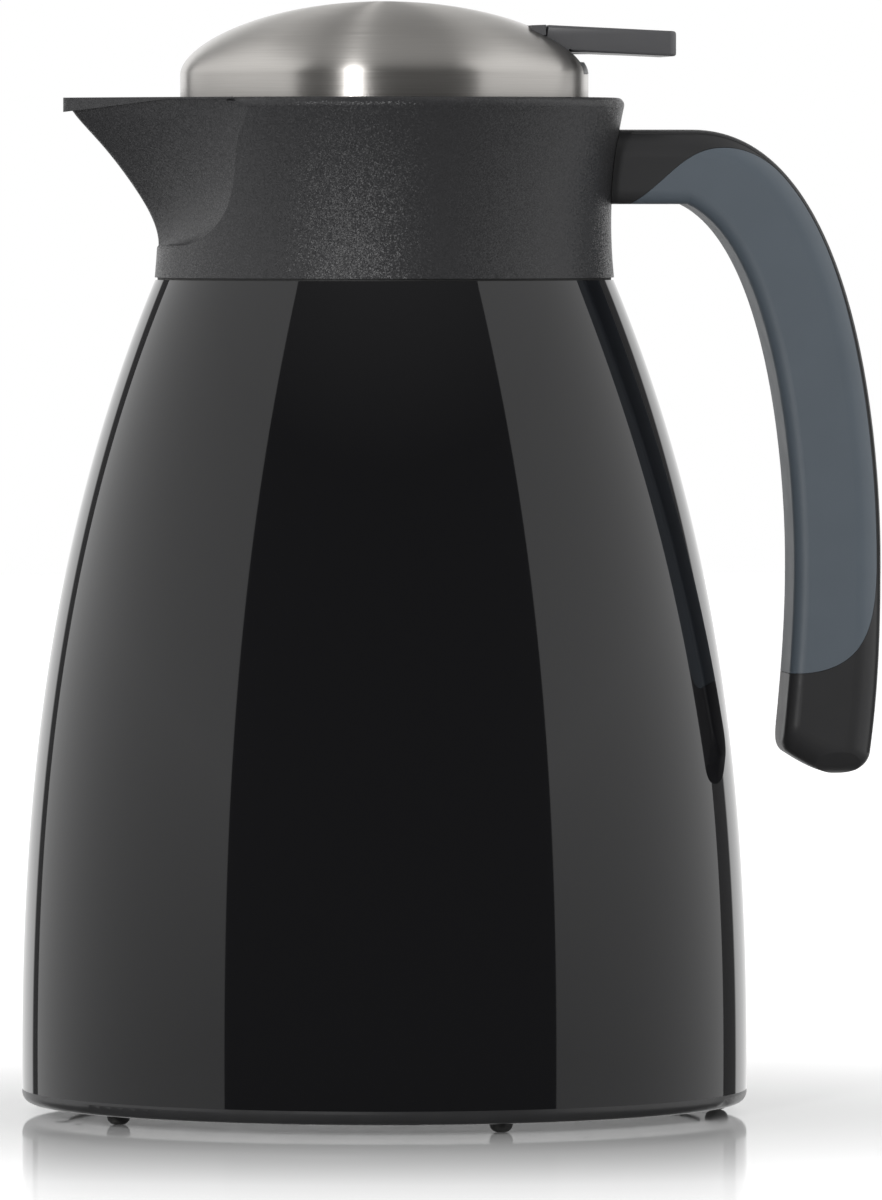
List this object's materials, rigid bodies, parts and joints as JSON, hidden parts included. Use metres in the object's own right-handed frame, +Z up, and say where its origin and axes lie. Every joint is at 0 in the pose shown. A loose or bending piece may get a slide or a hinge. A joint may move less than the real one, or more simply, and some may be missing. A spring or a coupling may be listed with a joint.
{
  "type": "thermal carafe",
  "caption": "Tapered insulated carafe with a spouted collar, open hanging handle, glass flask and a screw-in domed lid whose thumb lever lifts a pouring valve.",
  "frame": {"origin": "on the body's axis, in the plane that the feet stand on", "axes": "+Z up along the body's axis, +X towards the handle and lever, -X towards the spout"},
  "size_m": [0.1847, 0.1557, 0.2383],
  "materials": {
    "gloss_black": "high gloss injection-moulded",
    "satin_black": "satin",
    "textured_black": "matt with a fine sparkling grain",
    "grip_grey": "soft-touch matt",
    "inner_black": "plain moulded",
    "dome_steel": "brushed round the axis",
    "screw_steel": "plain",
    "flask_glass": "silvered inside the vacuum",
    "seal_silicone": "translucent silicone",
    "foot_rubber": "matt"
  },
  "bodies": {
    "carafe": {"base_cap": "satin_black", "base_screws": "screw_steel", "feet": "foot_rubber", "outer_shell": "gloss_black", "shell_gasket": "foot_rubber", "flask_outer_wall": "flask_glass", "flask_inner_wall": "flask_glass", "vacuum_pads": "inner_black", "flask_cushion": "foot_rubber", "neck_seal": "seal_silicone", "collar": "textured_black", "thread_insert": "inner_black", "handle_frame": "textured_black", "handle_grip": "grip_grey", "handle_screws": "screw_steel"},
    "gasket": {"stopper_gasket": "seal_silicone"},
    "lid": {"lid_body": "inner_black", "lid_deck": "inner_black", "stem_seal": "seal_silicone", "deck_seal": "seal_silicone", "deck_screws": "screw_steel", "lid_dome": "dome_steel", "lever_bezel": "satin_black", "lever_pin": "screw_steel", "valve_spring": "screw_steel"},
    "lever": {"lever": "satin_black"},
    "valve": {"valve_stem": "inner_black", "valve_disc": "inner_black", "valve_seal": "seal_silicone", "valve_head": "inner_black"}
  },
  "joints": [
    {"name": "closure_rise", "type": "slide", "parent": "carafe", "child": "gasket", "axis": [0, 0, 1], "range_m": [0, 0.0481]},
    {"name": "closure_turn", "type": "hinge", "parent": "gasket", "child": "lid", "pos_m": [0, 0, 0.2], "axis": [0, 0, 1], "range_deg": [0, 720]},
    {"name": "lever_press", "type": "hinge", "parent": "lid", "child": "lever", "pos_m": [0.03, 0, 0.2245], "axis": [0, 1, 0], "range_deg": [0, 7], "stiffness_Nm_per_rad": 1.5, "springref_deg": -2.86},
    {"name": "valve_lift", "type": "slide", "parent": "lid", "child": "valve", "axis": [0, 0, 1], "range_m": [0, 0.0037], "deforming": ["valve_spring"]}
  ],
  "couplings": [
    {"joint": "closure_rise", "follows": "closure_turn", "m_per_rad": 0.0038197},
    {"joint": "valve_lift", "follows": "lever_press", "m_per_rad": 0.03}
  ]
}
